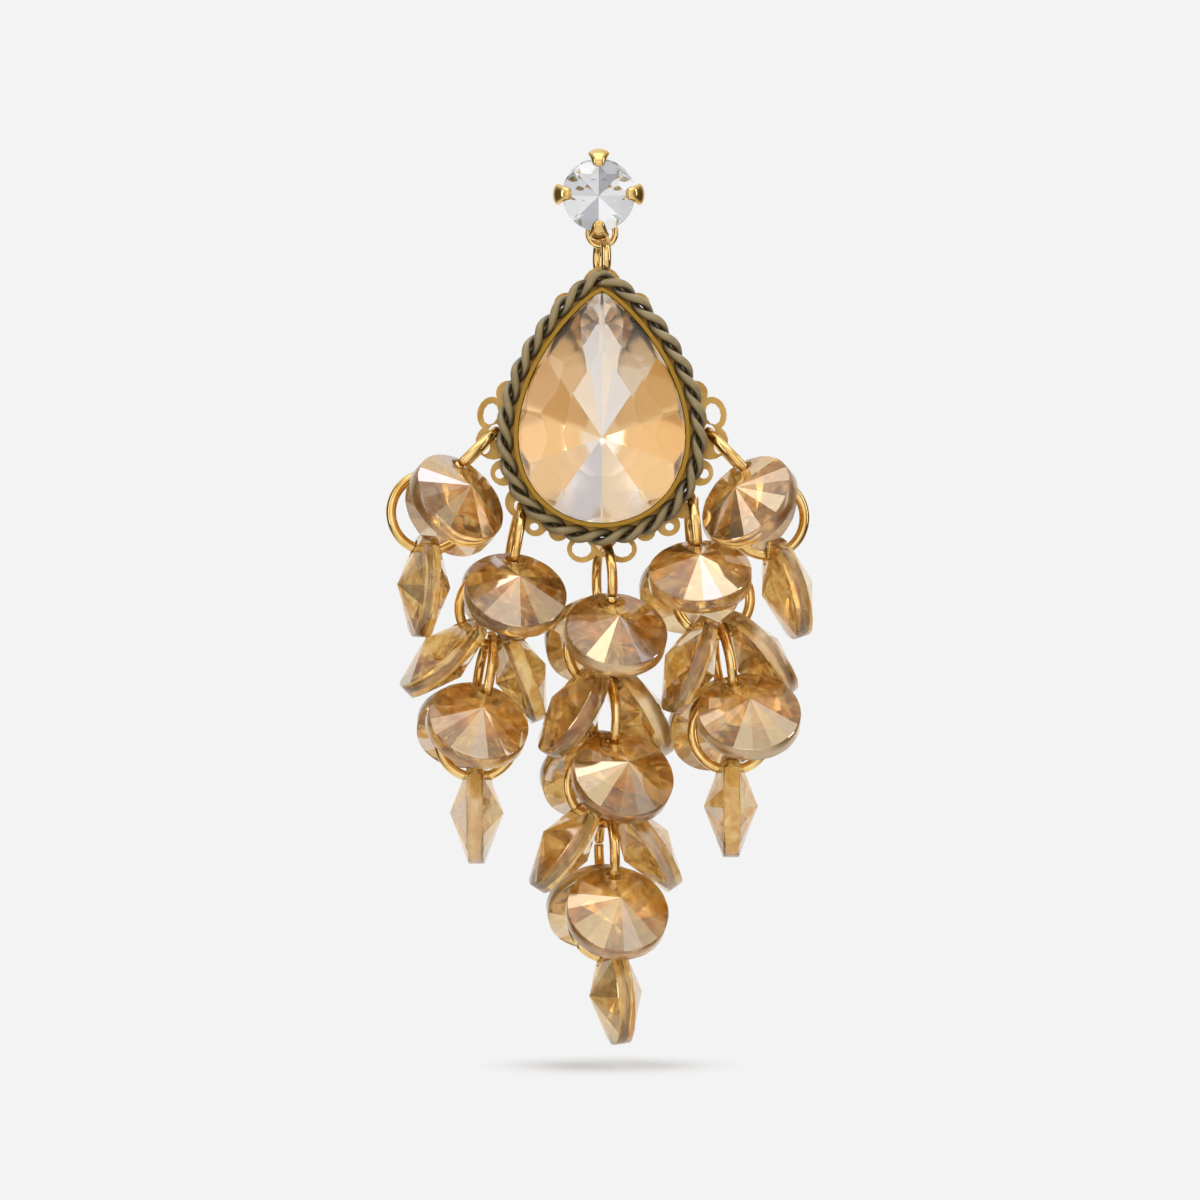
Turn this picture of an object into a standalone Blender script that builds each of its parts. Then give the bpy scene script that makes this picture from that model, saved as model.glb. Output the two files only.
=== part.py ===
"""Chandelier earring with a pear stone and five strands of pointed glass drops.

Metres, +Z up, seen from the -Y side.  The origin is the root of the ear post on the flat
back of the stud.  The stud holds a jump ring, the ring holds the pendant, and the pendant
is a pierced plate with a stone cup, a twisted chain round the cup and the five strands.
"""
import math

import bmesh
import bpy
from mathutils import Matrix, Vector

MM = 0.001

# Gap that two pieces keep where they touch on the real earring
SEAT_GAP = 0.06 * MM

# Line that everything below the stud hangs from
HANG_X = 0.25 * MM
HANG_Y = -0.5 * MM

# Stud
STUD_STONE_DIAMETER = 5.7 * MM
STUD_STONE_CROWN = 1.1 * MM
STUD_STONE_DEPTH = 2.3 * MM
STUD_STONE_GIRDLE = 0.25 * MM
STUD_STONE_MAINS = 8
STUD_STONE_SLOPE = 38
STUD_BASE_DIAMETER = 3.8 * MM
STUD_BASE_THICKNESS = 0.5 * MM
STUD_GALLERY_WIRE = 0.6 * MM
STUD_GALLERY_HEIGHT = 0.55
PRONG_ROOT = 0.95 * MM
PRONG_WIRE = 0.64 * MM
PRONG_TIP = 0.96 * MM
PRONG_REACH = 0.75 * MM
PRONG_LEAN = math.radians(46)
PRONG_PLAY = 0.2 * MM
POST_DIAMETER = 0.8 * MM
POST_LENGTH = 10.0 * MM
STUD_LOOP_BORE = 1.6 * MM
STUD_LOOP_WIRE = 0.5 * MM
STUD_LOOP_DROP = 2.8 * MM

# Jump ring between the stud and the pendant
TOP_RING_DIAMETER = 4.1 * MM
TOP_RING_WIRE = 0.8 * MM
TOP_RING_PLAY = 0.1 * MM
TOP_RING_TURN = math.radians(12)

# Pear stone
PEAR_WIDTH = 13.0 * MM
PEAR_HEIGHT = 18.0 * MM
PEAR_POINT = 0.65
PEAR_TOP_DROP = 1.2 * MM
PEAR_GIRDLE = 0.4 * MM
PEAR_CROWN = 1.9 * MM
PEAR_DEPTH = 2.8 * MM
PEAR_CULET_DROP = 2.3 * MM
PEAR_MAINS = 12
PEAR_SLOPE = 33

# Cup round the pear stone, and the twisted chain round the cup
CUP_WALL = 0.3 * MM
CUP_RIM_STAND = 0.25 * MM
TWIST_WIRE = 0.64 * MM
TWIST_SPREAD = 0.36 * MM
TWIST_TURNS = 14
TWIST_BELOW_RIM = 0.15 * MM

# Pierced plate
PLATE_THICKNESS = 0.8 * MM
PLATE_MARGIN = 1.3 * MM
PLATE_WINDOW = 0.62
PLATE_HOLE_PLAY = 0.22 * MM

# Strands
LINK_DIAMETER = 6.8 * MM
LINK_WIRE = 0.8 * MM
LINK_NIP = 0.1 * MM
DROP_DIAMETER = 8.0 * MM
DROP_GIRDLE = 1.3 * MM
DROP_CONE = 1.47 * MM
DROP_FACETS = 16
DROP_HOLE_PLAY = 0.3 * MM
DROP_HOLE_EDGE = 0.4 * MM
DROP_RISE = 0.1 * MM

LINK_SIDES = 14
WIRE_SIDES = 6
LOBE_SIDES = 18
HOLE_SIDES = 10

# Values that follow from the sizes above
PRONG_RADIUS = PRONG_WIRE / 2
STUD_RADIUS = STUD_STONE_DIAMETER / 2
STUD_GIRDLE_Y = -(STUD_BASE_THICKNESS + SEAT_GAP + STUD_STONE_DEPTH + STUD_STONE_GIRDLE / 2)
LOOP_RADIUS = (STUD_LOOP_BORE + STUD_LOOP_WIRE) / 2
LOOP_WIRE_Z = -(STUD_LOOP_DROP + LOOP_RADIUS)
TOP_RING_RADIUS = (TOP_RING_DIAMETER - TOP_RING_WIRE) / 2
TOP_RING_TOP_Z = LOOP_WIRE_Z + STUD_LOOP_WIRE / 2 + TOP_RING_PLAY + TOP_RING_WIRE / 2
TOP_RING_Z = TOP_RING_TOP_Z - TOP_RING_RADIUS
PENDANT_Z = TOP_RING_Z - TOP_RING_RADIUS
PEAR_TOP_Z = PENDANT_Z - PEAR_TOP_DROP
PEAR_Z = PEAR_TOP_Z - PEAR_HEIGHT / 2
PEAR_CULET_Y = HANG_Y + PLATE_THICKNESS / 2 - 2 * SEAT_GAP
PEAR_GIRDLE_Y = PEAR_CULET_Y - PEAR_DEPTH - PEAR_GIRDLE / 2
CUP_RIM_Y = PEAR_GIRDLE_Y - PEAR_GIRDLE / 2 - CUP_RIM_STAND
CUP_OUTSIDE = SEAT_GAP + CUP_WALL
TWIST_RADIUS = TWIST_SPREAD + TWIST_WIRE / 2
TWIST_Y = CUP_RIM_Y + TWIST_BELOW_RIM + TWIST_RADIUS
LINK_RADIUS = (LINK_DIAMETER - LINK_WIRE) / 2
LINK_PITCH = LINK_DIAMETER - 2 * LINK_WIRE + LINK_NIP
DROP_HOLE_RADIUS = LINK_WIRE / 2 + DROP_HOLE_PLAY
DROP_ARM = DROP_DIAMETER / 2 - DROP_HOLE_EDGE - DROP_HOLE_RADIUS
LINK_HOLE_RADIUS = LINK_WIRE / 2 + PLATE_HOLE_PLAY

# Strands: the hole in the plate, across from the hang line as a share of the pear's width and
# down from its top as a share of its height, how far the strand is pushed to the front by its
# neighbours, and the lean of each link from plumb, the left being negative.  Angles in degrees.
# name, across, down, forward, leans
STRANDS = (
    ("outer_left", -0.6385, 0.6, 6, (-46, -36)),
    ("inner_left", -0.4846, 0.9222, -6, (-11, -15, -11, -7)),
    ("centre", 0.0115, 1.0889, 0, (1, 0, 0, 1, 1, 2)),
    ("inner_right", 0.5308, 0.8778, 2, (5, 17, 9, 6)),
    ("outer_right", 0.6385, 0.6, -6, (44, 30)),
)

# Drops: which link of the strand they hang on, on which side of it, how far up the link
# they sit from its lowest point, how far they are turned with it, and how far they swing
# on the wire from where their weight would bring them, in degrees.
# strand, link, side, hang, turn, swing
DROPS = (
    ("outer_left", 0, "front", 54, 0, -20),
    ("outer_left", 0, "back", 44, 0, 16),
    ("outer_left", 1, "left", 4, -10, 0),
    ("inner_left", 0, "front", 45, -5, -5),
    ("inner_left", 0, "back", 46, -5, 0),
    ("inner_left", 1, "left", 48, -10, 0),
    ("inner_left", 1, "right", 21, -10, 22),
    ("inner_left", 2, "front", 44, -10, -24),
    ("inner_left", 2, "back", 42, -10, 14),
    ("inner_left", 3, "left", 0, 0, 0),
    ("centre", 0, "front", 45, -12, 0),
    ("centre", 0, "back", 38, -12, 0),
    ("centre", 1, "left", 31, -18, 22),
    ("centre", 1, "right", 30, -18, 6),
    ("centre", 2, "front", 37, -18, 6),
    ("centre", 2, "back", 38, -18, 0),
    ("centre", 3, "left", 34, -12, 0),
    ("centre", 3, "right", 34, -12, 0),
    ("centre", 4, "front", 38, -12, 0),
    ("centre", 4, "back", 40, -12, 0),
    ("centre", 5, "right", 5, -12, 0),
    ("inner_right", 0, "front", 54, -4, 5),
    ("inner_right", 0, "back", 40, -4, 0),
    ("inner_right", 1, "left", 22, -14, 17),
    ("inner_right", 1, "right", 39, -14, 0),
    ("inner_right", 2, "front", 44, -10, 24),
    ("inner_right", 2, "back", 34, -10, -1),
    ("inner_right", 3, "left", 0, 0, 0),
    ("outer_right", 0, "front", 52, 0, 24),
    ("outer_right", 0, "back", 44, 0, -16),
    ("outer_right", 1, "right", 16, -10, 0),
)

# Lobes of the plate on the right-hand side, repeated on the left: centre across from the
# hang line and down from the pear's top, as shares of the pear's width and height, then half
# width and half height in metres and tilt in degrees.
# across, down, half width, half height, tilt
SIDE_LOBES = (
    (0.215, 0.05, 1.0 * MM, 1.0 * MM, 0),
    (0.562, 0.433, 1.0 * MM, 1.0 * MM, 0),
    (0.669, 0.522, 1.08 * MM, 1.35 * MM, 12),
    (0.654, 0.644, 1.4 * MM, 1.4 * MM, 0),
    (0.592, 0.778, 1.05 * MM, 1.05 * MM, 0),
    (0.485, 0.906, 1.3 * MM, 1.3 * MM, 0),
    (0.4, 1.006, 0.95 * MM, 0.9 * MM, 0),
    (0.262, 1.033, 0.8 * MM, 0.8 * MM, 0),
    (0.119, 1.111, 1.2 * MM, 1.08 * MM, 0),
)
MIDDLE_LOBES = (
    (0.0, -0.033, 1.55 * MM, 1.55 * MM, 0),
    (0.008, 1.089, 1.05 * MM, 1.05 * MM, 0),
)

# Holes in those lobes, in the same columns
SIDE_HOLES = (
    (0.223, 0.044, 0.45 * MM, 0.45 * MM, 0),
    (0.585, 0.436, 0.24 * MM, 0.24 * MM, 0),
    (0.671, 0.522, 0.6 * MM, 0.87 * MM, 12),
    (0.7, 0.672, 0.32 * MM, 0.5 * MM, 20),
    (0.615, 0.783, 0.4 * MM, 0.4 * MM, 0),
    (0.408, 1.014, 0.35 * MM, 0.3 * MM, 0),
    (0.123, 1.111, 0.78 * MM, 0.66 * MM, 0),
)

FACING = Matrix.Rotation(math.pi / 2, 4, "X")
UP = Vector((0, 0, 1))
FRONT = Vector((0, -1, 0))


def clear_scene():
    for old in list(bpy.data.objects):
        bpy.data.objects.remove(old, do_unlink=True)


def make_collection(name):
    made = bpy.data.collections.new(name)
    bpy.context.scene.collection.children.link(made)
    return made


def make_material(name, colour, metallic, roughness, transmission=0.0):
    made = bpy.data.materials.new(name)
    made.use_nodes = True
    shader = made.node_tree.nodes["Principled BSDF"]
    shader.inputs["Base Color"].default_value = (*colour, 1.0)
    shader.inputs["Metallic"].default_value = metallic
    shader.inputs["Roughness"].default_value = roughness
    shader.inputs["Transmission Weight"].default_value = transmission
    made.diffuse_color = (*colour, 1.0)
    return made


def add_object(name, mesh, collection, material=None):
    made = bpy.data.objects.new(name, mesh)
    collection.objects.link(made)
    if material is not None:
        mesh.materials.clear()
        mesh.materials.append(material)
    return made


def add_cutter(name, mesh, place=Matrix()):
    made = add_object(name, mesh, CUTTERS)
    made.matrix_world = place
    made.display_type = "WIRE"
    made.hide_render = True
    return made


def add_pivot(name, place, parent=None):
    made = bpy.data.objects.new(name, None)
    EARRING.objects.link(made)
    made.parent = parent
    made.location = place if parent is None else place - parent.matrix_world.translation
    bpy.context.view_layer.update()
    return made


def hang_on(piece, pivot):
    piece.parent = pivot
    piece.matrix_parent_inverse = pivot.matrix_world.inverted()


def add_boolean(piece, other, operation):
    modifier = piece.modifiers.new(other.name, "BOOLEAN")
    modifier.operation = operation
    modifier.solver = "EXACT"
    modifier.object = other


def evaluated_mesh(source, name):
    """The mesh that an object's curve or modifiers give, welded, with the source removed."""
    bpy.context.view_layer.update()
    graph = bpy.context.evaluated_depsgraph_get()
    mesh = bpy.data.meshes.new_from_object(source.evaluated_get(graph))
    mesh.name = name
    work = bmesh.new()
    work.from_mesh(mesh)
    bmesh.ops.remove_doubles(work, verts=work.verts, dist=0.001 * MM)
    work.to_mesh(mesh)
    work.free()
    bpy.data.objects.remove(source, do_unlink=True)
    return mesh


def flat_mesh(name, outlines, thickness):
    """A flat shape in the local XY plane from closed outlines, an inner one being a hole."""
    curve = bpy.data.curves.new(name, "CURVE")
    curve.dimensions = "2D"
    curve.fill_mode = "BOTH"
    curve.extrude = thickness / 2
    for outline in outlines:
        spline = curve.splines.new("POLY")
        spline.points.add(len(outline) - 1)
        for point, place in zip(spline.points, outline):
            point.co = (place[0], place[1], 0.0, 1.0)
        spline.use_cyclic_u = True
    return evaluated_mesh(add_object(name, curve, CUTTERS), name)


def wire_mesh(name, route, wire, closed=False, tip=1.0):
    """A round wire along a route of points, its last point thicker by a factor."""
    curve = bpy.data.curves.new(name, "CURVE")
    curve.dimensions = "3D"
    curve.bevel_depth = wire / 2
    curve.bevel_resolution = 1
    curve.use_fill_caps = True
    spline = curve.splines.new("POLY")
    spline.points.add(len(route) - 1)
    for point, place in zip(spline.points, route):
        point.co = (*place, 1.0)
    spline.points[-1].radius = tip
    spline.use_cyclic_u = closed
    return evaluated_mesh(add_object(name, curve, CUTTERS), name)


def link_mesh(name, radius, wire):
    """A closed link in the local XY plane."""
    bpy.ops.mesh.primitive_torus_add(
        major_radius=radius,
        minor_radius=wire / 2,
        major_segments=LINK_SIDES,
        minor_segments=WIRE_SIDES,
    )
    made = bpy.context.object
    mesh = made.data
    mesh.name = name
    bpy.data.objects.remove(made, do_unlink=True)
    return mesh


def round_mesh(name, rows, depth, sides):
    """Oval pegs along local Z, one for each row of across, up, half width, half height, tilt."""
    work = bmesh.new()
    for across, up, half_width, half_height, tilt in rows:
        place = Matrix.Translation((across, up, 0)) @ Matrix.Rotation(math.radians(tilt), 4, "Z")
        size = Matrix.Diagonal((half_width, half_height, depth, 1))
        bmesh.ops.create_cone(
            work,
            cap_ends=True,
            segments=sides,
            radius1=1,
            radius2=1,
            depth=1,
            matrix=place @ size,
        )
    mesh = bpy.data.meshes.new(name)
    work.to_mesh(mesh)
    work.free()
    return mesh


def frame(origin, x_axis, z_axis):
    """A place whose local X and Z point along the two given directions."""
    y_axis = z_axis.cross(x_axis)
    turn = Matrix((x_axis, y_axis, z_axis)).transposed().to_4x4()
    return Matrix.Translation(origin) @ turn


def pear_at(angle):
    """The point at an angle round the pear from its tip, and the way out from there."""
    def place(t):
        swell = math.sin(t) * abs(math.sin(t / 2)) ** PEAR_POINT
        return Vector((PEAR_WIDTH / 2 * swell / PEAR_SWELL, PEAR_HEIGHT / 2 * math.cos(t)))

    step = 0.001
    along = place(angle + step) - place(angle - step)
    return place(angle), Vector((-along.y, along.x)).normalized()


def round_at(angle):
    """The same for the round stone of the stud."""
    way_out = Vector((math.sin(angle), math.cos(angle)))
    return way_out * STUD_RADIUS, way_out


def pear_outline(count, grow=0.0):
    """Evenly spaced points round the pear from its tip, moved out by a distance."""
    fine = 1440
    points = []
    for i in range(fine + 1):
        place, way_out = pear_at(2 * math.pi * i / fine)
        points.append(place + way_out * grow)
    runs = [0.0]
    for here, after in zip(points, points[1:]):
        runs.append(runs[-1] + (after - here).length)
    outline = []
    at = 0
    for i in range(count):
        target = runs[-1] * i / count
        while runs[at + 1] < target:
            at += 1
        share = (target - runs[at]) / (runs[at + 1] - runs[at])
        outline.append(points[at].lerp(points[at + 1], share))
    return outline


def cut_stone(name, outline_at, mains, girdle, crown, depth, culet, slope):
    """A brilliant cut: a prism of the outline, cut by the planes of its facets.

    Local +Z is the table side.  Each plane leans out from the girdle: the main facets and
    the finer break facets of the crown at their own slopes, the star facets beside the
    table, and the facets underneath towards the culet or towards a point deeper down.
    """
    tall = 4 * (crown + depth)
    blank = [outline_at(2 * math.pi * i / (4 * mains))[0] for i in range(4 * mains)]
    mesh = flat_mesh(name, [blank], tall)
    top = girdle / 2
    inset = crown / math.tan(math.radians(slope))
    planes = [(Vector((0, 0, top + crown)), UP)]
    for count, phase, lean, inward, height in (
        (mains, 0.5, slope, 0.0, 0.0),
        (2 * mains, 0.5, slope + 8, 0.0, 0.0),
        (mains, 0.0, slope - 13, 0.72 * inset, 0.71 * crown),
    ):
        for i in range(count):
            place, way_out = outline_at(2 * math.pi * (i + phase) / count)
            start = place - way_out * inward
            rise = math.radians(lean)
            across = way_out * math.sin(rise)
            normal = Vector((across.x, across.y, math.cos(rise)))
            planes.append((Vector((start.x, start.y, top + height)), normal))
    for count, deeper in ((mains, 1.0), (2 * mains, 1.22)):
        for i in range(count):
            place, way_out = outline_at(2 * math.pi * (i + 0.5) / count)
            start = Vector((place.x, place.y, -top))
            along = Vector((-way_out.y, way_out.x, 0))
            point = Vector((0, culet, -top - depth * deeper))
            normal = along.cross(point - start).normalized()
            if normal.z > 0:
                normal.negate()
            planes.append((start, normal))
    work = bmesh.new()
    work.from_mesh(mesh)
    for start, normal in planes:
        parts = [*work.verts, *work.edges, *work.faces]
        cut = bmesh.ops.bisect_plane(
            work,
            geom=parts,
            dist=0.0005 * MM,
            plane_co=start,
            plane_no=normal,
            clear_outer=True,
        )
        rim = [edge for edge in cut["geom_cut"] if isinstance(edge, bmesh.types.BMEdge)]
        if rim:
            bmesh.ops.holes_fill(work, edges=rim)
    bmesh.ops.dissolve_limit(
        work,
        angle_limit=math.radians(0.5),
        verts=work.verts,
        edges=work.edges,
    )
    bmesh.ops.remove_doubles(work, verts=work.verts, dist=0.01 * MM)
    bmesh.ops.recalc_face_normals(work, faces=work.faces)
    work.to_mesh(mesh)
    work.free()
    return mesh


def make_stud():
    """Base disc, ear post, gallery ring, four prongs and the loop, soldered into one."""
    radius = STUD_BASE_DIAMETER / 2
    base = round_mesh("stud_setting", [(0, 0, radius, radius, 0)], STUD_BASE_THICKNESS, 20)
    base.transform(Matrix.Translation((0, -STUD_BASE_THICKNESS / 2, 0)) @ FACING)
    stud = add_object("stud_setting", base, EARRING, GOLD)

    bury = STUD_BASE_THICKNESS / 2
    radius = POST_DIAMETER / 2
    post = round_mesh("post", [(0, 0, radius, radius, 0)], POST_LENGTH + bury, 12)
    centre = (POST_LENGTH - bury) / 2
    add_boolean(stud, add_cutter("post", post, Matrix.Translation((0, centre, 0)) @ FACING), "UNION")

    reach = STUD_RADIUS + SEAT_GAP + PRONG_RADIUS
    slope = math.atan2(STUD_STONE_DEPTH, STUD_RADIUS)
    beside = (PRONG_RADIUS + PRONG_PLAY) / math.sin(slope)
    gallery_y = STUD_GIRDLE_Y * STUD_GALLERY_HEIGHT
    share = (gallery_y + STUD_BASE_THICKNESS) / (STUD_GIRDLE_Y + STUD_BASE_THICKNESS)
    side_r = STUD_RADIUS * share + beside
    tip_r = STUD_RADIUS - PRONG_REACH / 2
    stand = (PRONG_TIP / 2 + SEAT_GAP) / math.cos(PRONG_LEAN)
    rise = (PRONG_REACH / 2) * math.tan(PRONG_LEAN) + stand
    route = (
        (0, -STUD_BASE_THICKNESS / 2, -PRONG_ROOT),
        (0, gallery_y, -side_r),
        (0, STUD_GIRDLE_Y + PRONG_RADIUS, -reach),
        (0, STUD_GIRDLE_Y - PRONG_RADIUS, -reach),
        (0, STUD_GIRDLE_Y - STUD_STONE_GIRDLE / 2 - rise, -tip_r),
    )
    prong = wire_mesh("prong", route, PRONG_WIRE, tip=PRONG_TIP / PRONG_WIRE)
    for name, quarter in (("south", 0), ("west", 1), ("north", 2), ("east", 3)):
        turn = Matrix.Rotation(quarter * math.pi / 2, 4, "Y")
        add_boolean(stud, add_cutter("prong_" + name, prong, turn), "UNION")

    gallery = link_mesh("gallery", side_r, STUD_GALLERY_WIRE)
    place = Matrix.Translation((0, gallery_y, 0)) @ FACING
    add_boolean(stud, add_cutter("gallery", gallery, place), "UNION")

    loop = link_mesh("stud_loop", LOOP_RADIUS, STUD_LOOP_WIRE)
    place = Matrix.Translation((HANG_X, HANG_Y, -STUD_LOOP_DROP)) @ FACING
    add_boolean(stud, add_cutter("stud_loop", loop, place), "UNION")
    return stud


def make_stud_stone():
    mesh = cut_stone(
        "stud_stone",
        round_at,
        STUD_STONE_MAINS,
        STUD_STONE_GIRDLE,
        STUD_STONE_CROWN,
        STUD_STONE_DEPTH,
        0.0,
        STUD_STONE_SLOPE,
    )
    stone = add_object("stud_stone", mesh, EARRING, CLEAR_GLASS)
    stone.matrix_world = Matrix.Translation((0, STUD_GIRDLE_Y, 0)) @ FACING
    return stone


def make_top_ring():
    mesh = link_mesh("top_ring", TOP_RING_RADIUS, TOP_RING_WIRE)
    ring = add_object("top_ring", mesh, EARRING, GOLD)
    centre = Vector((HANG_X, HANG_Y, TOP_RING_Z))
    through = Vector((math.cos(TOP_RING_TURN), math.sin(TOP_RING_TURN), 0))
    ring.matrix_world = frame(centre, -UP, through)
    return ring


def down_from_pear(rows, mirrored):
    """Rows of a lobe table as places round the pear's centre, on both sides if mirrored."""
    placed = []
    for across, down, half_width, half_height, tilt in rows:
        aside = across * PEAR_WIDTH
        up = PEAR_HEIGHT * (0.5 - down)
        placed.append((aside, up, half_width, half_height, tilt))
        if mirrored:
            placed.append((-aside, up, half_width, half_height, -tilt))
    return placed


def make_plate():
    """Pierced plate round an open window, with lobes, holes and the wall of the stone cup."""
    place = Matrix.Translation((HANG_X, HANG_Y, PEAR_Z)) @ FACING
    window = [point * PLATE_WINDOW for point in pear_outline(32)]
    band = flat_mesh("pendant_plate", [pear_outline(48, PLATE_MARGIN), window], PLATE_THICKNESS)
    plate = add_object("pendant_plate", band, EARRING, GOLD)
    plate.matrix_world = place

    lobes = down_from_pear(SIDE_LOBES, True) + down_from_pear(MIDDLE_LOBES, False)
    for number, lobe in enumerate(lobes, 1):
        solid = round_mesh("lobe", [lobe], PLATE_THICKNESS, LOBE_SIDES)
        add_boolean(plate, add_cutter(f"lobe_{number}", solid, place), "UNION")

    links = [(row[1], row[2], LINK_HOLE_RADIUS, LINK_HOLE_RADIUS, 0) for row in STRANDS]
    holes = down_from_pear(SIDE_HOLES, True) + down_from_pear(links, False)
    eye = TOP_RING_WIRE / 2 + PLATE_HOLE_PLAY
    holes.append((0, PENDANT_Z - PEAR_Z, eye, eye, 0))
    for number, hole in enumerate(holes, 1):
        open_way = round_mesh("hole", [hole], 2 * PLATE_THICKNESS, HOLE_SIDES)
        add_boolean(plate, add_cutter(f"hole_{number}", open_way, place), "DIFFERENCE")

    depth = HANG_Y - CUP_RIM_Y
    wall = flat_mesh("cup", [pear_outline(48, CUP_OUTSIDE), pear_outline(48, SEAT_GAP)], depth)
    middle = Matrix.Translation((HANG_X, HANG_Y - depth / 2, PEAR_Z)) @ FACING
    add_boolean(plate, add_cutter("cup", wall, middle), "UNION")
    flat = plate.modifiers.new("flat_faces", "DECIMATE")
    flat.decimate_type = "DISSOLVE"
    flat.angle_limit = math.radians(0.5)
    return plate


def make_pear_stone():
    mesh = cut_stone(
        "pear_stone",
        pear_at,
        PEAR_MAINS,
        PEAR_GIRDLE,
        PEAR_CROWN,
        PEAR_DEPTH,
        -PEAR_CULET_DROP,
        PEAR_SLOPE,
    )
    stone = add_object("pear_stone", mesh, EARRING, CHAMPAGNE_GLASS)
    stone.matrix_world = Matrix.Translation((HANG_X, PEAR_GIRDLE_Y, PEAR_Z)) @ FACING
    return stone


def make_twist(name, start):
    """One wire of the twisted chain: a helix carried round the pear as a closed loop."""
    steps = 9 * TWIST_TURNS
    path = pear_outline(steps, CUP_OUTSIDE + SEAT_GAP + TWIST_RADIUS)
    route = []
    for i, point in enumerate(path):
        along = (path[(i + 1) % steps] - path[i - 1]).normalized()
        way_out = Vector((-along.y, along.x))
        turn = start - 2 * math.pi * TWIST_TURNS * i / steps
        place = point + way_out * TWIST_SPREAD * math.cos(turn)
        route.append((place.x, place.y, TWIST_SPREAD * math.sin(turn)))
    mesh = wire_mesh(name, route, TWIST_WIRE, closed=True)
    strand = add_object(name, mesh, EARRING, KHAKI)
    strand.matrix_world = Matrix.Translation((HANG_X, TWIST_Y, PEAR_Z)) @ FACING
    return strand


def make_drop_mesh():
    """A turned double cone with flat facets and a hole drilled near its rim."""
    half = DROP_GIRDLE / 2
    radius = DROP_DIAMETER / 2
    profile = ((0, half + DROP_CONE), (radius, half), (radius, -half), (0, -half - DROP_CONE))
    mesh = bpy.data.meshes.new("drop")
    mesh.from_pydata([(x, 0, z) for x, z in profile], [(0, 1), (1, 2), (2, 3)], [])
    blank = add_object("drop_blank", mesh, CUTTERS)
    screw = blank.modifiers.new("turned", "SCREW")
    screw.steps = DROP_FACETS
    screw.render_steps = DROP_FACETS
    screw.use_merge_vertices = True
    screw.merge_threshold = 0.01 * MM
    screw.use_smooth_shade = False
    tall = 2 * (DROP_GIRDLE + 2 * DROP_CONE)
    drill = [(DROP_ARM, 0, DROP_HOLE_RADIUS, DROP_HOLE_RADIUS, 18)]
    add_boolean(blank, add_cutter("drop_hole", round_mesh("drop_hole", drill, tall, 10)), "DIFFERENCE")
    return evaluated_mesh(blank, "drop")


def strand_links(row):
    """Centre and downward direction of each link of a strand, from its hole in the plate."""
    name, across, down, forward, leans = row
    at = Vector((HANG_X + across * PEAR_WIDTH, HANG_Y, PEAR_TOP_Z - down * PEAR_HEIGHT))
    run = LINK_RADIUS
    links = []
    for lean in leans:
        ahead = Matrix.Rotation(math.radians(-forward), 3, "X")
        way_down = Matrix.Rotation(math.radians(-lean), 3, "Y") @ ahead @ -UP
        at = at + way_down * run
        links.append((at, way_down))
        run = LINK_PITCH
    return links


def link_across(index, way_down, turn):
    """The way along a link's plane: to the front on even links, to the right on odd ones."""
    level = (FRONT - way_down * way_down.dot(FRONT)).normalized()
    if index % 2:
        level = level.cross(way_down)
    angle = math.radians(turn)
    return level * math.cos(angle) + way_down.cross(level) * math.sin(angle)


def link_turn(strand, index):
    """A link turns with the drops that it carries."""
    for name, link, side, hang, turn, swing in DROPS:
        if name == strand and link == index:
            return turn
    return 0


def make_chain(row, mesh):
    """The links of one strand, passed through each other and joined where they touch."""
    strand = row[0]
    chain = None
    for index, (centre, way_down) in enumerate(strand_links(row)):
        across = link_across(index, way_down, link_turn(strand, index))
        place = frame(centre, way_down, way_down.cross(across))
        if chain is None:
            chain = add_object("chain_" + strand, mesh.copy(), EARRING, GOLD)
            chain.matrix_world = place
            continue
        link = add_cutter(f"link_{strand}_{index + 1}", mesh, place)
        add_boolean(chain, link, "UNION")
    return chain


def make_drops(row, mesh):
    """The drops of one strand, each threaded on the wire of its link."""
    strand = row[0]
    links = strand_links(row)
    pieces = []
    for name, index, side, hang, turn, swing in DROPS:
        if name != strand:
            continue
        centre, way_down = links[index]
        through = way_down.cross(link_across(index, way_down, turn))
        lowest = (through * through.z - UP).normalized()
        beside = through.cross(lowest)
        if side in ("back", "left"):
            beside = -beside
        angle = math.radians(hang)
        hole = lowest * math.cos(angle) + beside * math.sin(angle)
        axis = beside * math.cos(angle) - lowest * math.sin(angle)
        plumb = (axis * axis.z - UP).normalized()
        arm = Matrix.Rotation(math.radians(swing), 3, axis) @ plumb
        place = centre + hole * (LINK_RADIUS - DROP_RISE) + arm * DROP_ARM
        drop = add_object(f"drop_{strand}_{len(pieces) + 1}", mesh, EARRING)
        drop.matrix_world = frame(place, -arm, axis)
        pieces.append(drop)
    return pieces


clear_scene()
EARRING = make_collection("chandelier_earring")
CUTTERS = make_collection("cutters")
GOLD = make_material("gold_plated_brass", (0.80, 0.55, 0.22), 1.0, 0.22)
CLEAR_GLASS = make_material("clear_glass", (0.92, 0.94, 0.95), 0.0, 0.03, 0.8)
CHAMPAGNE_GLASS = make_material("champagne_glass", (0.85, 0.60, 0.36), 0.3, 0.08, 0.5)
KHAKI = make_material("khaki_lacquer", (0.27, 0.21, 0.11), 0.1, 0.5)
PEAR_SWELL = max(
    math.sin(t / 500) * math.sin(t / 1000) ** PEAR_POINT for t in range(1, 1570)
)

ring_pivot = add_pivot("ring_pivot", Vector((HANG_X, HANG_Y, LOOP_WIRE_Z)))
pendant_pivot = add_pivot("pendant_pivot", Vector((HANG_X, HANG_Y, PENDANT_Z)), ring_pivot)

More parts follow.
